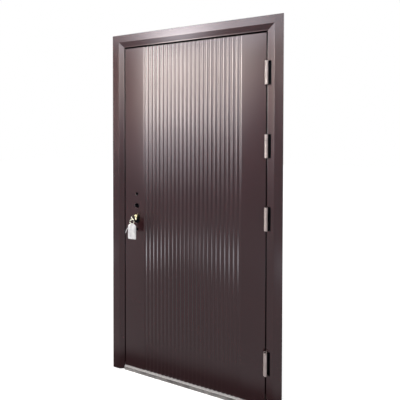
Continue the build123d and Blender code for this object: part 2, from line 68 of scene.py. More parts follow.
# Sizes of the door, in millimetres, as in the part's source
FRAME_WIDTH = 960.0
FRAME_HEIGHT = 2050.0
FRAME_DEPTH = 115.0
FRAME_SHEET = 1.5
FRAME_BEND = 0.8
CASING_RETURN = 15.0
CASING_FLAT = 43.0
BEVEL_WIDTH = 27.5
BEVEL_DEPTH = 10.0
LIP_WIDTH = 4.0
STOP_WIDTH = 20.0
BACK_FLANGE = 60.0
BACK_RETURN = 15.0
LEAF_GAP = 5.5
LEAF_RECESS = 12.0
LEAF_THICKNESS = 70.0
LOCK_EDGE_BEVEL = 5.0
SKIN = 1.2
FLUTE_COUNT = 24
FLUTE_PITCH = 23.3
FLUTE_DEPTH = 2.5
GROOVE_SHARE = 0.3
HINGE_PLATE = 2.5
NOTCH_WIDTH = 18.0
NOTCH_END_CLEAR = 2.0
LOCK_BACKSET = 75.0
SPINDLE_HEIGHT = 1016.0
SPINDLE_TO_KEY = 58.0
SPINDLE_HOLE_RADIUS = 15.0
PLATE_BOLT_ABOVE = 71.5
PLATE_BOLT_SPACING = 215.0
PLATE_BOLT_RADIUS = 10.0
CYLINDER_HOLE_WIDTH = 40.0
CYLINDER_HOLE_HEIGHT = 58.0
CYLINDER_HOLE_DROP = 10.0
CYLINDER_RADIUS = 8.5
CYLINDER_HEIGHT = 33.0

# Places worked out from the sizes
CASING_Y = -FRAME_DEPTH / 2
REBATE_INSET = CASING_FLAT + BEVEL_WIDTH + LIP_WIDTH
STOP_INSET = REBATE_INSET + STOP_WIDTH
STOP_DEPTH = LEAF_RECESS + LEAF_THICKNESS + LEAF_GAP
REBATE_X = FRAME_WIDTH / 2 - REBATE_INSET
LEAF_X = REBATE_X - LEAF_GAP
LEAF_FRONT_Y = CASING_Y + LEAF_RECESS
LEAF_BACK_Y = LEAF_FRONT_Y + LEAF_THICKNESS
FLUTED_X = FLUTE_COUNT * FLUTE_PITCH / 2
NOTCH_DEPTH = BEVEL_DEPTH + FRAME_SHEET + FRAME_BEND
EDGE_LEAN = LOCK_EDGE_BEVEL / LEAF_THICKNESS
LOCK_X = -LEAF_X + LOCK_BACKSET
KEY_HEIGHT = SPINDLE_HEIGHT - SPINDLE_TO_KEY
PLATE_BOLT_TOP = SPINDLE_HEIGHT + PLATE_BOLT_ABOVE
PLATE_BOLT_LOW = PLATE_BOLT_TOP - PLATE_BOLT_SPACING
CYLINDER_MIDDLE = KEY_HEIGHT + CYLINDER_RADIUS - CYLINDER_HEIGHT / 2
CYLINDER_HOLE_MIDDLE = CYLINDER_MIDDLE - CYLINDER_HOLE_DROP
ROUND_HOLES = [
    (PLATE_BOLT_TOP, PLATE_BOLT_RADIUS),
    (PLATE_BOLT_LOW, PLATE_BOLT_RADIUS),
    (SPINDLE_HEIGHT, SPINDLE_HOLE_RADIUS),
]


# Shader helpers

def shader(name):
    """A new material with its node tree and Principled shader."""
    material = bpy.data.materials.new(name)
    material.use_nodes = True
    tree = material.node_tree
    return material, tree, tree.nodes["Principled BSDF"]


def bare_shader(name):
    """A new material with its node tree and the surface socket of its output, its only node."""
    material = bpy.data.materials.new(name)
    material.use_nodes = True
    tree = material.node_tree
    tree.nodes.clear()
    output = add_node(tree, "ShaderNodeOutputMaterial")
    return material, tree, output.inputs["Surface"]


def add_node(tree, kind, inputs=None, **settings):
    """A node with these settings and socket values."""
    node = tree.nodes.new(kind)
    for key, value in settings.items():
        setattr(node, key, value)
    for key, value in (inputs or {}).items():
        node.inputs[key].default_value = value
    return node


def noise_at(tree, scale, detail=3.0, stretch=(1.0, 1.0, 1.0)):
    """Noise in object space, drawn out along an axis by a small number there."""
    coordinates = add_node(tree, "ShaderNodeTexCoord")
    mapping = add_node(tree, "ShaderNodeMapping", {"Scale": stretch})
    texture = add_node(tree, "ShaderNodeTexNoise", {"Scale": scale, "Detail": detail})
    tree.links.new(coordinates.outputs["Object"], mapping.inputs["Vector"])
    tree.links.new(mapping.outputs["Vector"], texture.inputs["Vector"])
    return texture.outputs["Fac"]


def split_geometry(tree, kind):
    """The X, Y and Z sockets of the surface's Position or Normal."""
    geometry = add_node(tree, "ShaderNodeNewGeometry")
    split = add_node(tree, "ShaderNodeSeparateXYZ")
    tree.links.new(geometry.outputs[kind], split.inputs["Vector"])
    return split.outputs


def ramp(tree, factor, stops):
    """A colour ramp with these (place, colour) stops."""
    node = add_node(tree, "ShaderNodeValToRGB")
    while len(node.color_ramp.elements) < len(stops):
        node.color_ramp.elements.new(0.5)
    for element, (place, colour) in zip(node.color_ramp.elements, stops):
        element.position = place
        element.color = (*colour, 1.0)
    tree.links.new(factor, node.inputs["Fac"])
    return node.outputs["Color"]


def spread(tree, factor, low, high, start=0.3, end=0.7, kind="LINEAR"):
    """The factor mapped from start-end to low-high, and held at both ends."""
    limits = {"From Min": start, "From Max": end, "To Min": low, "To Max": high}
    node = add_node(tree, "ShaderNodeMapRange", limits, interpolation_type=kind)
    tree.links.new(factor, node.inputs["Value"])
    return node.outputs["Result"]


def calculate(tree, operation, first, second=None):
    """The result of a maths operation, such as ADD or ABSOLUTE, on one or two sockets or numbers."""
    node = add_node(tree, "ShaderNodeMath", operation=operation)
    for socket, value in zip(node.inputs, (first, second)):
        if isinstance(value, (int, float)):
            socket.default_value = value
        elif value is not None:
            tree.links.new(value, socket)
    return node.outputs[0]


def bump(tree, height, distance, normal):
    """A bump from a height, its distance in metres, into a shader's normal."""
    node = add_node(tree, "ShaderNodeBump", {"Strength": 1.0, "Distance": distance})
    tree.links.new(height, node.inputs["Height"])
    tree.links.new(node.outputs["Normal"], normal)


# Materials

def paint_material():
    """Dark maroon satin paint with a faint orange peel and slow changes of gloss."""
    material, tree, principled = shader("door_paint_maroon")
    clouds = noise_at(tree, scale=2.2, detail=4.0)
    tone = ramp(tree, clouds, [(0.3, (0.0210, 0.0046, 0.0056)), (0.7, (0.0250, 0.0056, 0.0068))])
    dullness = spread(tree, noise_at(tree, scale=5.0, detail=2.0), low=0.19, high=0.21)
    peel = noise_at(tree, scale=700.0, detail=2.0)
    tree.links.new(tone, principled.inputs["Base Color"])
    tree.links.new(dullness, principled.inputs["Roughness"])
    principled.inputs["Specular IOR Level"].default_value = 0.36
    principled.inputs["Specular Tint"].default_value = (1.0, 0.93, 0.98, 1.0)
    bump(tree, peel, distance=0.00003, normal=principled.inputs["Normal"])
    return material


def metal_material(name, colours, roughness, grain, blotch, metallic=1.0, anisotropy=0.0):
    """Metal with a directional grain and blotches of tone.

    grain is the grain's scale, its stretch along each axis and its depth in metres, and blotch the scale of
    the blotches. A lower metallic share stands for a dull plating.
    """
    material, tree, principled = shader(name)
    grain_scale, grain_stretch, grain_depth = grain
    tone = ramp(tree, noise_at(tree, blotch, detail=5.0), [(0.32, colours[0]), (0.68, colours[1])])
    brushed = noise_at(tree, grain_scale, stretch=grain_stretch)
    tree.links.new(tone, principled.inputs["Base Color"])
    tree.links.new(spread(tree, brushed, *roughness), principled.inputs["Roughness"])
    principled.inputs["Metallic"].default_value = metallic
    principled.inputs["Specular IOR Level"].default_value = 0.25
    principled.inputs["Anisotropic"].default_value = anisotropy
    bump(tree, brushed, grain_depth, principled.inputs["Normal"])
    return material


def paint_top_highlight(material, colour):
    """Paints the faces that look up pale and dull, a painted highlight where light catches the top."""
    tree = material.node_tree
    principled = tree.nodes["Principled BSDF"]
    upward = spread(tree, split_geometry(tree, "Normal")["Z"], 0.0, 1.0, start=0.5, end=0.9)
    polished = principled.inputs["Base Color"].links[0].from_socket
    mixed = add_node(tree, "ShaderNodeMix", data_type="RGBA")
    mixed.inputs["B"].default_value = (*colour, 1.0)
    tree.links.new(upward, mixed.inputs["Factor"])
    tree.links.new(polished, mixed.inputs["A"])
    tree.links.new(mixed.outputs["Result"], principled.inputs["Base Color"])
    shine = principled.inputs["Metallic"].default_value
    tree.links.new(spread(tree, upward, shine, 0.0, start=0.0, end=1.0), principled.inputs["Metallic"])


def matte_material(name, colours, roughness, tone_scale, dullness_scale, specular=0.5):
    """A dark matte finish with faint changes of tone and dullness."""
    material, tree, principled = shader(name)
    tone = ramp(tree, noise_at(tree, tone_scale), [(0.3, colours[0]), (0.7, colours[1])])
    dullness = spread(tree, noise_at(tree, dullness_scale), *roughness)
    tree.links.new(tone, principled.inputs["Base Color"])
    tree.links.new(dullness, principled.inputs["Roughness"])
    principled.inputs["Specular IOR Level"].default_value = specular
    return material


def film_material():
    """Thin white plastic film, a little see-through, with soft creases."""
    material, tree, principled = shader("bag_film_white")
    clouds = noise_at(tree, scale=70.0, detail=4.0, stretch=(1.0, 1.0, 0.35))
    tone = ramp(tree, clouds, [(0.3, (0.64, 0.63, 0.65)), (0.6, (0.88, 0.87, 0.88))])
    dullness = spread(tree, noise_at(tree, scale=90.0), low=0.18, high=0.36)
    crease = noise_at(tree, scale=160.0, detail=4.0, stretch=(1.0, 1.0, 0.3))
    tree.links.new(tone, principled.inputs["Base Color"])
    tree.links.new(dullness, principled.inputs["Roughness"])
    principled.inputs["Subsurface Weight"].default_value = 0.15
    principled.inputs["Subsurface Radius"].default_value = (0.004, 0.004, 0.004)
    bump(tree, crease, distance=0.0006, normal=principled.inputs["Normal"])
    return material


PAINT = paint_material()
STAINLESS = metal_material(
    "stainless_brushed",
    colours=((0.17, 0.16, 0.155), (0.42, 0.40, 0.39)),
    roughness=(0.30, 0.46),
    grain=(260.0, (0.03, 1.0, 1.0), 0.00004),
    blotch=26.0,
    metallic=0.5,
    anisotropy=0.3,
)
# The sill's top is painted pale: a painted highlight for the light that catches it.
paint_top_highlight(STAINLESS, colour=(0.96, 0.94, 0.93))
HINGE_STEEL = metal_material(
    "hinge_steel_satin",
    colours=((0.37, 0.305, 0.295), (0.52, 0.435, 0.42)),
    roughness=(0.36, 0.50),
    grain=(420.0, (1.0, 1.0, 0.05), 0.00003),
    blotch=30.0,
    metallic=0.04,
)
# The pins are near black, painted shade in the gaps between the hinges' knuckles.
PIN_STEEL_SHADED = metal_material(
    "pin_steel_painted_shade",
    colours=((0.020, 0.018, 0.018), (0.045, 0.040, 0.040)),
    roughness=(0.30, 0.45),
    grain=(200.0, (1.0, 1.0, 0.1), 0.00002),
    blotch=60.0,
    metallic=0.04,
)
ZINC = metal_material(
    "zinc_plated",
    colours=((0.36, 0.37, 0.40), (0.50, 0.50, 0.52)),
    roughness=(0.35, 0.55),
    grain=(90.0, (1.0, 1.0, 1.0), 0.00005),
    blotch=40.0,
)
BRASS = metal_material(
    "lock_brass_pale",
    colours=((0.74, 0.66, 0.40), (0.86, 0.80, 0.55)),
    roughness=(0.18, 0.30),
    grain=(500.0, (0.2, 1.0, 1.0), 0.00002),
    blotch=80.0,
)
NICKEL = metal_material(
    "key_nickel_worn",
    colours=((0.72, 0.70, 0.58), (0.86, 0.84, 0.74)),
    roughness=(0.18, 0.34),
    grain=(300.0, (1.0, 0.1, 1.0), 0.00003),
    blotch=90.0,
)
PRIMER = metal_material(
    "bare_primer",
    colours=((0.62, 0.58, 0.57), (0.76, 0.72, 0.71)),
    roughness=(0.45, 0.6),
    grain=(200.0, (1.0, 1.0, 1.0), 0.00002),
    blotch=90.0,
    metallic=0.0,
)
RUBBER = matte_material(
    "seal_rubber_black",
    colours=((0.012, 0.012, 0.012), (0.02, 0.02, 0.02)),
    roughness=(0.55, 0.75),
    tone_scale=60.0,
    dullness_scale=200.0,
)
# Black oxide taken near black and without gloss: partly its own colour, partly painted shade in the hinge
# notches, the lock's holes and the screws' recesses.
DARK_OXIDE_AND_SHADE = matte_material(
    "dark_oxide_and_painted_shade",
    colours=((0.003, 0.003, 0.005), (0.005, 0.005, 0.008)),
    roughness=(0.5, 0.7),
    tone_scale=50.0,
    dullness_scale=120.0,
    specular=0.02,
)
FILM = film_material()
SLOT_MATERIALS = {
    "door_paint": PAINT,
    "hinge_steel": HINGE_STEEL,
    "stainless": STAINLESS,
    "zinc_steel": ZINC,
    "seal_rubber": RUBBER,
    "dark_steel": DARK_OXIDE_AND_SHADE,
    "lock_brass": BRASS,
    "key_nickel": NICKEL,
    "bag_plastic": FILM,
}


# Mesh helpers; a cutter stands out by CUT_PAST, and by SKIN_CUT_REACH on both sides of a skin's face
SHARP_ANGLE = 32.0
CUT_PAST = 1.0
SKIN_CUT_REACH = 10.0


def add_object(name, data):
    """A new object in the scene."""
    made = bpy.data.objects.new(name, data)
    bpy.context.scene.collection.objects.link(made)
    return made


def box_mm(node):
    """The low and high corners of a node's box, in millimetres."""
    low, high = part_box(node)
    return Vector(low) / MM, Vector(high) / MM


def full_turn(steps):
    """Angles round a circle, in radians."""
    return [2 * math.pi * step / steps for step in range(steps)]


def mesh_object(name, vertices, faces, material, sharp_angle=SHARP_ANGLE):
    """A smooth-shaded object, sharp where its faces meet at more than sharp_angle degrees."""
    mesh = bpy.data.meshes.new(name)
    mesh.from_pydata([Vector(v) * MM for v in vertices], [], faces)
    mesh.materials.append(material)
    work = bmesh.new()
    work.from_mesh(mesh)
    bmesh.ops.recalc_face_normals(work, faces=work.faces)
    work.to_mesh(mesh)
    work.free()
    mesh.shade_smooth()
    mesh.set_sharp_from_angle(angle=math.radians(sharp_angle))
    return add_object(name, mesh)


def box_object(name, low, high, material):
    """A box between two corners."""
    corners = [(x, y, z) for z in (low[2], high[2]) for y in (low[1], high[1]) for x in (low[0], high[0])]
    faces = [(0, 2, 3, 1), (4, 5, 7, 6), (0, 1, 5, 4), (2, 6, 7, 3), (0, 4, 6, 2), (1, 3, 7, 5)]
    return mesh_object(name, corners, faces, material)


def tube_faces(rows, around):
    """Faces of a tube made of rows + 1 rings of points, with both ends closed."""
    faces = [tuple(range(around))[::-1], tuple(range(rows * around, (rows + 1) * around))]
    for row in range(rows):
        for i in range(around):
            a, b = row * around + i, row * around + (i + 1) % around
            faces.append((a, b, b + around, a + around))
    return faces


def prism_object(name, outline, y0, y1, material):
    """An outline of (x, z) points carried from y0 to y1."""
    vertices = [(x, y, z) for y in (y0, y1) for x, z in outline]
    return mesh_object(name, vertices, tube_faces(1, len(outline)), material)


def cut_away(target, cutters):
    """Takes the cutters out of the target's mesh, their material on the cut faces, and deletes them."""
    for cutter in cutters:
        modifier = target.modifiers.new("cut", "BOOLEAN")
        modifier.operation = "DIFFERENCE"
        modifier.solver = "EXACT"
        modifier.material_mode = "TRANSFER"
        modifier.object = cutter
    bpy.context.view_layer.update()
    evaluated = target.evaluated_get(bpy.context.evaluated_depsgraph_get())
    result = bpy.data.meshes.new_from_object(evaluated)
    target.modifiers.clear()
    old = target.data
    target.data = result
    bpy.data.meshes.remove(old)
    for cutter in cutters:
        mesh = cutter.data
        bpy.data.objects.remove(cutter)
        bpy.data.meshes.remove(mesh)
    target.data.shade_smooth()
    target.data.set_sharp_from_angle(angle=math.radians(SHARP_ANGLE))


def flatten_shading(target):
    """Keeps flat faces evenly shaded right up to their bends."""
    modifier = target.modifiers.new("even_flats", "WEIGHTED_NORMAL")
    modifier.mode = "FACE_AREA"
    modifier.weight = 100
    modifier.keep_sharp = True


def stand_for(piece, node):
    """The piece takes the node's place and body."""
    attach(piece, NODES[node]["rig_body"])
    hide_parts(node)


# Sections

def left_offset(path, amount):
    """The open path moved to its left by amount, with mitred corners."""
    normals = []
    for (x0, y0), (x1, y1) in zip(path, path[1:]):
        length = math.hypot(x1 - x0, y1 - y0)
        normals.append(((y0 - y1) / length, (x1 - x0) / length))
    moved = []
    for (x, y), (ax, ay), (bx, by) in zip(path, [normals[0]] + normals, normals + [normals[-1]]):
        scale = amount / (1 + ax * bx + ay * by)
        moved.append((x + (ax + bx) * scale, y + (ay + by) * scale))
    return moved


def rounded(path, radii, steps=6):
    """The open path with its inner corners rounded by these radii."""
    points = [path[0]]
    for before, here, after, radius in zip(path, path[1:], path[2:], radii):
        corner = Vector(here)
        back = (Vector(before) - corner).normalized()
        ahead = (Vector(after) - corner).normalized()
        half = back.angle(ahead) / 2
        centre = corner + (back + ahead).normalized() * (radius / math.sin(half))
        first = corner + back * (radius / math.tan(half)) - centre
        last = corner + ahead * (radius / math.tan(half)) - centre
        turn = first.angle_signed(last)
        for step in range(steps + 1):
            swing = Matrix.Rotation(-turn * step / steps, 2)
            points.append(tuple(centre + swing @ first))
    points.append(path[-1])
    return points


def folded_outline(path, thickness, bend):
    """The closed outline of a folded sheet to the left of the path."""
    far_side = left_offset(path, thickness)
    near_radii, far_radii = [], []
    for (ax, ay), (bx, by), (cx, cy) in zip(path, path[1:], path[2:]):
        turns_left = (bx - ax) * (cy - by) > (by - ay) * (cx - bx)
        near_radii.append(bend + thickness if turns_left else bend)
        far_radii.append(bend if turns_left else bend + thickness)
    return rounded(path, near_radii) + rounded(far_side, far_radii)[::-1]


# Frame members, mitred at the top corners; the section's points are (inset, depth)
FRAME_PATH = [
    (0, CASING_RETURN),
    (0, 0),
    (CASING_FLAT, 0),
    (CASING_FLAT + BEVEL_WIDTH, BEVEL_DEPTH),
    (REBATE_INSET, BEVEL_DEPTH),
    (REBATE_INSET, STOP_DEPTH),
    (STOP_INSET, STOP_DEPTH),
    (STOP_INSET, FRAME_DEPTH),
    (STOP_INSET - BACK_FLANGE, FRAME_DEPTH),
    (STOP_INSET - BACK_FLANGE, FRAME_DEPTH - BACK_RETURN),
]


def foot_end(side):
    """Places a section point at the foot of the jamb on the side +1 or -1."""
    def place(inset, depth):
        return side * (FRAME_WIDTH / 2 - inset), CASING_Y + depth, 0
    return place


def mitred_end(side):
    """Places a section point at the mitred top corner on the side +1 or -1."""
    def place(inset, depth):
        return side * (FRAME_WIDTH / 2 - inset), CASING_Y + depth, FRAME_HEIGHT - inset
    return place


def swept_member(name, *ends):
    """A member with the frame's section, carried from one end to the other."""
    outline = folded_outline(FRAME_PATH, FRAME_SHEET, FRAME_BEND)
    vertices = [place(inset, depth) for place in ends for inset, depth in outline]
    return mesh_object(name, vertices, tube_faces(1, len(outline)), PAINT)


def hinge_cutters(hinge_name):
    """Cutters for a hinge's notch in the casing and for the seat of its plate."""
    low, high = box_mm(hinge_name + "_frame_leaf")
    front = (REBATE_X - CUT_PAST, CASING_Y - CUT_PAST)
    notch_far = (REBATE_X + NOTCH_WIDTH, CASING_Y + NOTCH_DEPTH, high.z + NOTCH_END_CLEAR)
    notch = box_object(hinge_name + "_notch", (*front, low.z - NOTCH_END_CLEAR), notch_far, PAINT)
    seat = box_object(hinge_name + "_seat", (*front, low.z), high, PAINT)
    return [notch, seat]


def strike_cutter():
    """A cutter for the strike plate's seat."""
    low, high = box_mm("strike_plate")
    past = Vector((CUT_PAST, 0, 0))
    return box_object("strike_seat", low - past, high + past, PAINT)


hinge_jamb = swept_member("hinge_jamb_smooth", foot_end(1), mitred_end(1))
lock_jamb = swept_member("lock_jamb_smooth", foot_end(-1), mitred_end(-1))
head_jamb = swept_member("head_jamb_smooth", mitred_end(-1), mitred_end(1))
cut_away(hinge_jamb, [cutter for hinge_name in HINGE_NAMES for cutter in hinge_cutters(hinge_name)])
cut_away(lock_jamb, [strike_cutter()])
for member, node_name in ((hinge_jamb, "hinge_jamb"), (lock_jamb, "lock_jamb"), (head_jamb, "head_jamb")):
    flatten_shading(member)
    stand_for(member, node_name)


# Fluted skins, with a slight wave as pressed sheet has
FLUTE_STEPS = 6
SKIN_ROWS = 60
SKIN_EDGE = 0.8 * SKIN
EDGE_STEPS = 4
WAVE_HEIGHT = 0.05
WAVE_FADE = 60.0
WAVE_SCALE_X = 0.006
WAVE_SCALE_Z = 0.003


def fluted_points(x_left, x_right, inset):
    """Points along the fluted surface, inset behind the leaf's face."""
    slope = 2 * math.atan(2 * FLUTE_DEPTH / FLUTE_PITCH)
    both = FLUTE_PITCH / 2 / math.sin(slope)
    groove = both * GROOVE_SHARE + inset
    rib = both * (1 - GROOVE_SHARE) - inset
    bottom = inset + FLUTE_DEPTH
    angles = [slope * step / FLUTE_STEPS for step in range(FLUTE_STEPS + 1)]
    points = [(x_left, inset)]
    for index in range(FLUTE_COUNT):
        crest = -FLUTED_X + index * FLUTE_PITCH
        middle = crest + FLUTE_PITCH / 2
        half = [(crest + rib * math.sin(a), inset + rib * (1 - math.cos(a))) for a in angles]
        for a in angles[-2::-1]:
            half.append((middle - groove * math.sin(a), bottom - groove * (1 - math.cos(a))))
        other = [(2 * middle - x, y) for x, y in half[-2::-1]]
        points += half + other[:-1]
    points += [(FLUTED_X, inset), (x_right, inset)]
    return points


def sheet_wave(x, z, seed):
    """How far the pressed sheet wanders from its true face, fading out towards the leaf's edges."""
    reach = min(1.0, max(0.0, (LEAF_X - abs(x)) / WAVE_FADE))
    return reach * WAVE_HEIGHT * noise.noise(Vector((x * WAVE_SCALE_X + seed, z * WAVE_SCALE_Z, seed)))


def skin_object(name, node, x_left, face_y, inward, seed):
    """A fluted skin between the node's ends, its face at face_y and its thickness going inward."""
    low, high = box_mm(node)
    front = fluted_points(x_left, LEAF_X, 0.0)
    back = fluted_points(x_left, LEAF_X, SKIN)
    angles = [math.pi / 2 * step / EDGE_STEPS for step in range(EDGE_STEPS + 1)]
    corner = [(SKIN_EDGE * (1 - math.sin(a)), SKIN_EDGE * (1 - math.cos(a))) for a in angles]
    left_corner = [(x_left + x, y) for x, y in corner[::-1]]
    right_corner = [(LEAF_X - x, y) for x, y in corner]
    outline = left_corner + front[1:-1] + right_corner + back[::-1]
    vertices = []
    for row in range(SKIN_ROWS + 1):
        z = low.z + (high.z - low.z) * row / SKIN_ROWS
        vertices += [(x, face_y + inward * (y + sheet_wave(x, z, seed)), z) for x, y in outline]
    return mesh_object(name, vertices, tube_faces(SKIN_ROWS, len(outline)), PAINT)


def obround(x, z, width, height, steps=48):
    """The outline of an upright slot with round ends, or of a circle when both sizes are the same."""
    points = []
    rise = (height - width) / 2
    for a in full_turn(steps):
        lifted = math.copysign(rise, math.sin(a))
        points.append((x + width / 2 * math.cos(a), z + width / 2 * math.sin(a) + lifted))
    return points


def lock_cutters(tag, face_y):
    """Cutters for the lock's holes in the skin at face_y, leaving bare metal on the cut edge."""
    outlines = [obround(LOCK_X, z, 2 * radius, 2 * radius) for z, radius in ROUND_HOLES]
    outlines.append(obround(LOCK_X, CYLINDER_HOLE_MIDDLE, CYLINDER_HOLE_WIDTH, CYLINDER_HOLE_HEIGHT))
    y0, y1 = face_y - SKIN_CUT_REACH, face_y + SKIN_CUT_REACH
    return [prism_object(f"{tag}_hole_{i}", outline, y0, y1, PRIMER) for i, outline in enumerate(outlines)]


def door_seat_cutter(hinge_name):
    """A cutter for the seat of a hinge's door plate in the front skin's edge."""
    low, high = box_mm(hinge_name + "_door_leaf")
    near = (LEAF_X - HINGE_PLATE, LEAF_FRONT_Y - SKIN_CUT_REACH, low.z)
    far = (LEAF_X + CUT_PAST, LEAF_FRONT_Y + SKIN_CUT_REACH, high.z)
    return box_object(hinge_name + "_door_seat", near, far, PAINT)


front_skin = skin_object("front_skin_fluted", "front_skin", -LEAF_X, LEAF_FRONT_Y, inward=1, seed=3.0)
back_left = -LEAF_X + LOCK_EDGE_BEVEL
back_skin = skin_object("back_skin_fluted", "back_skin", back_left, LEAF_BACK_Y, inward=-1, seed=11.0)
door_seats = [door_seat_cutter(hinge_name) for hinge_name in HINGE_NAMES]
cut_away(front_skin, lock_cutters("front", LEAF_FRONT_Y) + door_seats)
cut_away(back_skin, lock_cutters("back", LEAF_BACK_Y))
for skin, node_name in ((front_skin, "front_skin"), (back_skin, "back_skin")):
    flatten_shading(skin)
    stand_for(skin, node_name)


# Bare sleeves behind the round front holes, and countersunk screws
SLEEVE_WALL = 1.2
SLEEVE_LENGTH = 3.0
SLEEVE_SHARP_ANGLE = 40.0
SCREW_RADIUS = 4.2
SCREW_DOME = 0.35
SCREW_SLOT_LENGTH = 4.8
SCREW_SLOT_WIDTH = 0.9
SCREW_SLOT_DEPTH = 0.7
HINGE_SCREW_SHARES = (-0.72, -0.25, 0.25, 0.72)
HINGE_SCREW_SETBACK = 14.0
PLATE_SCREW_INSET = 10.0
# The rings of a screw's head, each a share of its radius and a height
SCREW_RINGS = [(0.45, 0.85 * SCREW_DOME), (0.8, 0.5 * SCREW_DOME), (0.97, 0.1), (1.0, 0.0), (1.0, -1.0)]


def sleeve_object(name, z, radius, steps=40):
    """A short tube behind a hole of the front skin, its bore as wide as the hole."""
    y0 = LEAF_FRONT_Y + SKIN
    y1 = y0 + SLEEVE_LENGTH
    outer = radius + SLEEVE_WALL
    rings = [(radius, y0), (radius, y1), (outer, y1), (outer, y0)]
    vertices = []
    for r, y in rings:
        vertices += [(LOCK_X + r * math.cos(a), y, z + r * math.sin(a)) for a in full_turn(steps)]
    faces = []
    for ring in range(len(rings)):
        here, there = ring * steps, (ring + 1) % len(rings) * steps
        for step in range(steps):
            after = (step + 1) % steps
            faces.append((here + step, here + after, there + after, there + step))
    return mesh_object(name, vertices, faces, PRIMER, SLEEVE_SHARP_ANGLE)


def screw_head(steps=28):
    """A low screw head along +Z with a cross recess, whose mesh all screws share."""
    vertices = [(0.0, 0.0, SCREW_DOME)]
    for share, height in SCREW_RINGS:
        radius = share * SCREW_RADIUS
        vertices += [(radius * math.cos(a), radius * math.sin(a), height) for a in full_turn(steps)]
    last = len(vertices) - steps
    faces = [tuple(range(last, last + steps))]
    for step in range(steps):
        after = (step + 1) % steps
        faces.append((0, 1 + step, 1 + after))
        for inner in range(1, last, steps):
            outer = inner + steps
            faces.append((inner + step, outer + step, outer + after, inner + after))
    head = mesh_object("screw_head", vertices, faces, ZINC)
    long, short = SCREW_SLOT_LENGTH / 2, SCREW_SLOT_WIDTH / 2
    top = SCREW_DOME + CUT_PAST
    slots = []
    for number, (x, y) in enumerate(((long, short), (short, long))):
        # The recess's cut faces take the near-black material, painted shade in the recess.
        slots.append(box_object(f"slot_{number}", (-x, -y, -SCREW_SLOT_DEPTH), (x, y, top), DARK_OXIDE_AND_SHADE))
    cut_away(head, slots)
    return head


def screw_places():
    """The node, place and outward direction of every screw: on hinge plates, forend and strike plate."""
    places = []
    for hinge_name in HINGE_NAMES:
        low, high = box_mm(hinge_name + "_door_leaf")
        y = high.y - HINGE_SCREW_SETBACK
        for share in HINGE_SCREW_SHARES:
            z = (low.z + high.z) / 2 + share * (high.z - low.z) / 2
            places.append((hinge_name + "_door_leaf", (LEAF_X, y, z), (1, 0, 0)))
            places.append((hinge_name + "_frame_leaf", (REBATE_X, y, z), (-1, 0, 0)))
    for node_name, out in (("lock_forend", (-1, -EDGE_LEAN, 0)), ("strike_plate", (1, 0, 0))):
        low, high = box_mm(node_name)
        y = (low.y + high.y) / 2
        lock_edge = -LEAF_X + (y - LEAF_FRONT_Y) * EDGE_LEAN
        x = lock_edge if node_name == "lock_forend" else -REBATE_X
        for z in (low.z + PLATE_SCREW_INSET, high.z - PLATE_SCREW_INSET):
            places.append((node_name, (x, y, z), out))
    return places


def place_screws():
    """Puts a screw at every place, on the body of its node."""
    head = screw_head()
    for number, (node_name, place, out) in enumerate(screw_places()):
        screw = add_object(f"screw_{number}", head.data)
        screw.location = Vector(place) * MM
        screw.rotation_euler = Vector(out).to_track_quat("Z", "Y").to_euler()
        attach(screw, NODES[node_name]["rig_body"])
    bpy.data.objects.remove(head)


for number, (z, radius) in enumerate(ROUND_HOLES):
    sleeve = sleeve_object(f"hole_sleeve_{number}", z, radius)
    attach(sleeve, NODES["front_skin"]["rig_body"])
place_screws()


# CAD nodes that stay, with softened edges
EDGE_WIDTHS = {
    "threshold_plate": 0.8,
    "key": 0.5,
    "lock_cylinder": 0.5,
    "strike_plate": 0.3,
    "lock_forend": 0.4,
}
HINGE_EDGE_WIDTHS = {"_frame_leaf": 0.7, "_door_leaf": 0.7, "_pin": 0.4}
SOFT_EDGE_ANGLE = 40.0

for node_name, node in NODES.items():
    finish = PIN_STEEL_SHADED if node_name.endswith("_pin") else SLOT_MATERIALS[NODE_SLOTS[node_name]]
    node.data.materials.clear()
    node.data.materials.append(finish)
for hinge_name in HINGE_NAMES:
    for ending, width in HINGE_EDGE_WIDTHS.items():
        EDGE_WIDTHS[hinge_name + ending] = width
for node_name, width in EDGE_WIDTHS.items():
    softened = NODES[node_name].modifiers.new("soft_edges", "BEVEL")
    softened.width = width * MM
    softened.segments = 2
    softened.limit_method = "ANGLE"
    softened.angle_limit = math.radians(SOFT_EDGE_ANGLE)


# Bag of spare keys, its creases and pleats in millimetres and its other sizes as shares of its box
BAG_ROWS = 60
BAG_AROUND = 72
BAG_SHARP_ANGLE = 60.0
NECK_LENGTH = 0.2
NECK_WIDTH = 0.16
NECK_DEPTH = 0.25
WELD_LENGTH = 0.1
WELD_PULL = 0.05
BELLY_END = 25 / 28
EDGE_DEPTH = 0.14
BELLY_DEPTH = 0.74
FOLD_SHARE = 0.25
EDGE_WANDER = 0.03
CREASE_HEIGHT = 1.3
PLEAT_HEIGHT = 1.2
PLEAT_RATE = 9.0
# Powers that flatten or sharpen the bag's curves
NECK_POWER = 0.8
BELLY_POWER = 0.55
SIDE_POWER = 0.75
FACE_POWER = 0.9


def signed_power(value, power):
    """The value raised to a power, keeping its sign."""
    return math.copysign(abs(value) ** power, value)


def bag_section(share):
    """How far the neck has opened, and the bag's width and depth, at a share of the height below its top."""
    neck = min(1.0, share / NECK_LENGTH)
    width = NECK_WIDTH + (1 - NECK_WIDTH) * math.sin(neck * math.pi / 2) ** NECK_POWER
    width *= 1.0 - WELD_PULL * max(0.0, (share - 1 + WELD_LENGTH) / WELD_LENGTH) ** 2
    belly = math.sin(min(1.0, share / BELLY_END) * math.pi) ** BELLY_POWER
    depth = EDGE_DEPTH + BELLY_DEPTH * max(belly, NECK_DEPTH * (1 - neck))
    return neck, width, depth


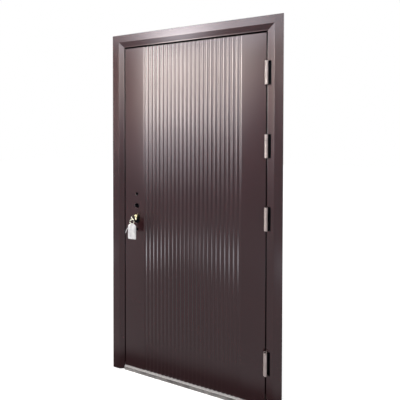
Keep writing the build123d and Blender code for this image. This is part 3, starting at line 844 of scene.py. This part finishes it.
def bag_object():
    """A gathered film bag with two slack faces, welded side and bottom edges and soft folds."""
    low, high = box_mm("key_bag")
    middle = (low + high) / 2
    half_x, half_y, _ = (high - low) / 2
    vertices = []
    for row in range(BAG_ROWS + 1):
        share = row / BAG_ROWS
        neck, width, depth = bag_section(share)
        z = high.z - share * (high.z - low.z)
        for a in full_turn(BAG_AROUND):
            across = signed_power(math.cos(a), SIDE_POWER)
            out = signed_power(math.sin(a), FACE_POWER)
            fold = noise.noise(Vector((across * 2.6, out * 0.7 + 4.0, share * 1.7)))
            crease = noise.noise(Vector((across * 5.0, share * 6.0, 9.0 + out)))
            wander = noise.noise(Vector((share * 5.0, 2.0, across)))
            pleat = math.sin(across * PLEAT_RATE + 2.0 * fold) * (PLEAT_HEIGHT - neck)
            x = across * half_x * width * (1.0 + EDGE_WANDER * wander)
            y = out * half_y * depth * (1.0 + FOLD_SHARE * fold)
            y += (CREASE_HEIGHT * crease + pleat) * abs(out)
            vertices.append((middle.x + x, middle.y + max(-half_y, min(half_y, y)), z))
    return mesh_object("key_bag_film", vertices, tube_faces(BAG_ROWS, BAG_AROUND), FILM, BAG_SHARP_ANGLE)


bag = bag_object()
stand_for(bag, "key_bag")


# Floor, light and camera, in metres and degrees
WHITE = (1.0, 1.0, 1.0)
WARM_WHITE = (1.0, 0.98, 0.88)
COOL_WHITE = (0.92, 0.97, 1.0)
WORLD_LIGHT = 0.25
FLOOR_SIDE = 14.0
FLOOR_GREY = 0.5
FLOOR_GLOW_NEAR = 0.78
FLOOR_GLOW_DISTANCES = (1.2, 4.5)
FLOOR_MIRROR_DISTANCES = (0.13, 0.22)
CAMERA_PLACE = (0.304, -1.4895, 1.418)
CAMERA_TILT = 90 - 0.69
CAMERA_TURN = 18.16
CAMERA_SENSOR = 36.0
CAMERA_LENS = 23.4
CAMERA_SHIFT = (0.097, -0.144)

# Walls that give the paint its sheen
WALL_RADIUS = 3.4
WALL_SPLIT = 3.12
WALL_TOP = 4.4
WALL_LIFT = 0.7
LIFT_TURNS = (-12, 9)
UPPER_LEVEL = 5.0
LOW_WALL_RADIUS = 1.45
LOW_WALL_TOP = 0.5
# The belt of a wall's panels, its middle and half height
WALL_BELT = (3.4, 3.3)
UPPER_BELT = (WALL_TOP, 2 * WALL_TOP)
LOW_BELT = (0.22, 0.27)
# The panels, each a middle and half width in degrees to the right of the front, and a strength
WALL_PANELS = [(-57, 14, 54.0), (-12, 19, 42.0), (-14, 12, 90.0), (4, 9, 13.0), (25.5, 10.5, 40.0)]
UPPER_PANELS = [(-58, 24, 16.0), (-14, 25, 24.0), (6, 14, 13.0), (38, 24, 18.0)]
LOW_LEFT_PANELS = [(-62, 22, 14.0)]
LOW_RIGHT_PANELS = [(40, 19, 14.0)]


def white_for_view(tree, mirror_share=1.0):
    """1 for rays from the camera and through glass, the mirror share for reflections, else 0."""
    path = add_node(tree, "ShaderNodeLightPath")
    mirrored = calculate(tree, "MULTIPLY", path.outputs["Is Glossy Ray"], mirror_share)
    seen = calculate(tree, "MAXIMUM", path.outputs["Is Camera Ray"], path.outputs["Is Transmission Ray"])
    return calculate(tree, "MAXIMUM", seen, mirrored)


def make_floor():
    """A plain pale floor that turns white away from the door and keeps its shadow.

    Close to the door, reflections leave its white out, so that the foot of the leaf stays dark.
    """
    material, tree, surface = bare_shader("floor_pale")
    diffuse = add_node(tree, "ShaderNodeBsdfDiffuse", {"Color": (FLOOR_GREY, FLOOR_GREY, FLOOR_GREY, 1.0)})
    glow = add_node(tree, "ShaderNodeEmission", {"Color": (*WHITE, 1.0)})
    total = add_node(tree, "ShaderNodeAddShader")
    place = split_geometry(tree, "Position")
    squares = [calculate(tree, "MULTIPLY", place[axis], place[axis]) for axis in ("X", "Y")]
    distance = calculate(tree, "SQRT", calculate(tree, "ADD", *squares))
    near, far = FLOOR_GLOW_DISTANCES
    level = spread(tree, distance, FLOOR_GLOW_NEAR, 1.0, start=near, end=far)
    near, far = FLOOR_MIRROR_DISTANCES
    mirrored = spread(tree, calculate(tree, "ABSOLUTE", place["Y"]), 0.0, 1.0, start=near, end=far)
    strength = calculate(tree, "MULTIPLY", white_for_view(tree, mirrored), level)
    tree.links.new(strength, glow.inputs["Strength"])
    tree.links.new(diffuse.outputs[0], total.inputs[0])
    tree.links.new(glow.outputs[0], total.inputs[1])
    tree.links.new(total.outputs[0], surface)
    side = FLOOR_SIDE / MM
    corners = [(-side, -side, 0), (side, -side, 0), (side, side, 0), (-side, side, 0)]
    floor = mesh_object("floor", corners, [(0, 1, 2, 3)], material)


def make_world():
    """White behind the door, a dim grey for the light that it gives."""
    world = bpy.data.worlds.new("studio")
    bpy.context.scene.world = world
    world.use_nodes = True
    tree = world.node_tree
    background = tree.nodes["Background"]
    background.inputs["Color"].default_value = (*WHITE, 1.0)
    level = spread(tree, white_for_view(tree), WORLD_LIGHT, 1.0, start=0.0, end=1.0)
    tree.links.new(level, background.inputs["Strength"])


def area_light(name, place, target, size, watts, colour):
    """A soft rectangular light at a place, aimed at a target."""
    data = bpy.data.lights.new(name, "AREA")
    data.shape = "RECTANGLE"
    data.size, data.size_y = size
    data.energy = watts
    data.color = colour
    light = add_object(name, data)
    light.location = place
    aim = Vector(target) - Vector(place)
    light.rotation_euler = aim.to_track_quat("-Z", "Y").to_euler()


def make_lights():
    """Two soft lamps in front of the door and one behind it."""
    area_light(
        "key",
        place=(-2.6, -2.2, 1.5),
        target=(0.0, 0.0, 1.0),
        size=(1.0, 1.4),
        watts=66.0,
        colour=(1.0, 0.97, 0.95),
    )
    area_light(
        "fill",
        place=(2.2, -2.4, 2.2),
        target=(0.0, 0.0, 0.8),
        size=(1.0, 1.4),
        watts=30.0,
        colour=(0.97, 0.98, 1.0),
    )
    area_light(
        "back",
        place=(-1.8, 2.6, 2.0),
        target=(0.0, 0.0, 1.0),
        size=(1.2, 1.4),
        watts=40.0,
        colour=WHITE,
    )


def panel_glow(tree, turn, height, panels, belt):
    """The strongest of the soft panels at a turn in degrees and a height, each fading out to its edges."""
    middle_height, half_height = belt
    off_belt = calculate(tree, "ABSOLUTE", calculate(tree, "SUBTRACT", height, middle_height))
    upright = spread(tree, off_belt, 1.0, 0.0, start=0.0, end=half_height, kind="SMOOTHSTEP")
    total = 0.0
    for middle, half_width, strength in panels:
        aside = calculate(tree, "ABSOLUTE", calculate(tree, "SUBTRACT", turn, middle))
        across = spread(tree, aside, strength, 0.0, start=0.0, end=half_width, kind="SMOOTHSTEP")
        total = calculate(tree, "MAXIMUM", calculate(tree, "MULTIPLY", across, upright), total)
    return total


def sheen_material(name, heights, panels, belt, level, lift, top_colour):
    """A glow with soft panels, at least as strong as level, cool white or turning to a top colour."""
    material, tree, surface = bare_shader(name)
    place = split_geometry(tree, "Position")
    ahead = calculate(tree, "MULTIPLY", place["Y"], -1.0)
    turn = calculate(tree, "DEGREES", calculate(tree, "ARCTAN2", place["X"], ahead))
    height = place["Z"]
    if lift:
        left, right = LIFT_TURNS
        height = calculate(tree, "SUBTRACT", height, spread(tree, turn, 0.0, lift, start=left, end=right))
    glow = add_node(tree, "ShaderNodeEmission", {"Color": (*COOL_WHITE, 1.0)})
    if top_colour:
        bottom, top = heights
        upward = spread(tree, height, 0.0, 1.0, start=bottom, end=top)
        colour = ramp(tree, upward, [(0.35, COOL_WHITE), (0.65, top_colour)])
        tree.links.new(colour, glow.inputs["Color"])
    strength = calculate(tree, "MAXIMUM", panel_glow(tree, turn, height, panels, belt), level)
    tree.links.new(strength, glow.inputs["Strength"])
    tree.links.new(glow.outputs[0], surface)
    return material


def sheen_wall(name, radius, heights, panels, belt, level=1.0, lift=0.0, top_colour=None, steps=40):
    """A curved studio wall with soft bright panels, which shows only in reflections.

    heights are its bottom and top, and level its strength between the panels. The panels are raised by up to
    lift towards the right.
    """
    material = sheen_material(name, heights, panels, belt, level, lift, top_colour)
    left = min(middle - half_width for middle, half_width, _ in panels)
    right = max(middle + half_width for middle, half_width, _ in panels)
    vertices = []
    for step in range(steps + 1):
        angle = math.radians(left + (right - left) * step / steps)
        for z in heights:
            vertices.append((radius / MM * math.sin(angle), -radius / MM * math.cos(angle), z / MM))
    faces = [(2 * step, 2 * step + 2, 2 * step + 3, 2 * step + 1) for step in range(steps)]
    wall = mesh_object(name, vertices, faces, material)
    wall.visible_camera = False
    wall.visible_diffuse = False
    wall.visible_shadow = False
    wall.visible_transmission = False


def make_sheen():
    """A tall wall in two parts, and a low one on each side for the foot of the door."""
    tall, upper, low = (0.0, WALL_SPLIT), (WALL_SPLIT, WALL_TOP), (0.0, LOW_WALL_TOP)
    sheen_wall("wall_sheen", WALL_RADIUS, tall, WALL_PANELS, WALL_BELT, lift=WALL_LIFT, top_colour=WARM_WHITE)
    sheen_wall("upper_sheen", WALL_RADIUS, upper, UPPER_PANELS, UPPER_BELT, level=UPPER_LEVEL)
    sheen_wall("low_sheen_left", LOW_WALL_RADIUS, low, LOW_LEFT_PANELS, LOW_BELT)
    sheen_wall("low_sheen_right", LOW_WALL_RADIUS, low, LOW_RIGHT_PANELS, LOW_BELT)


def make_camera():
    """The photograph's camera, fitted to the frame's corners."""
    data = bpy.data.cameras.new("photo_camera")
    data.sensor_width = CAMERA_SENSOR
    data.lens = CAMERA_LENS
    data.shift_x, data.shift_y = CAMERA_SHIFT
    camera = add_object("photo_camera", data)
    camera.location = CAMERA_PLACE
    camera.rotation_euler = (math.radians(CAMERA_TILT), 0.0, math.radians(CAMERA_TURN))
    bpy.context.scene.camera = camera


make_floor()
make_world()
make_lights()
make_sheen()
make_camera()
bpy.context.scene.view_settings.view_transform = "Standard"
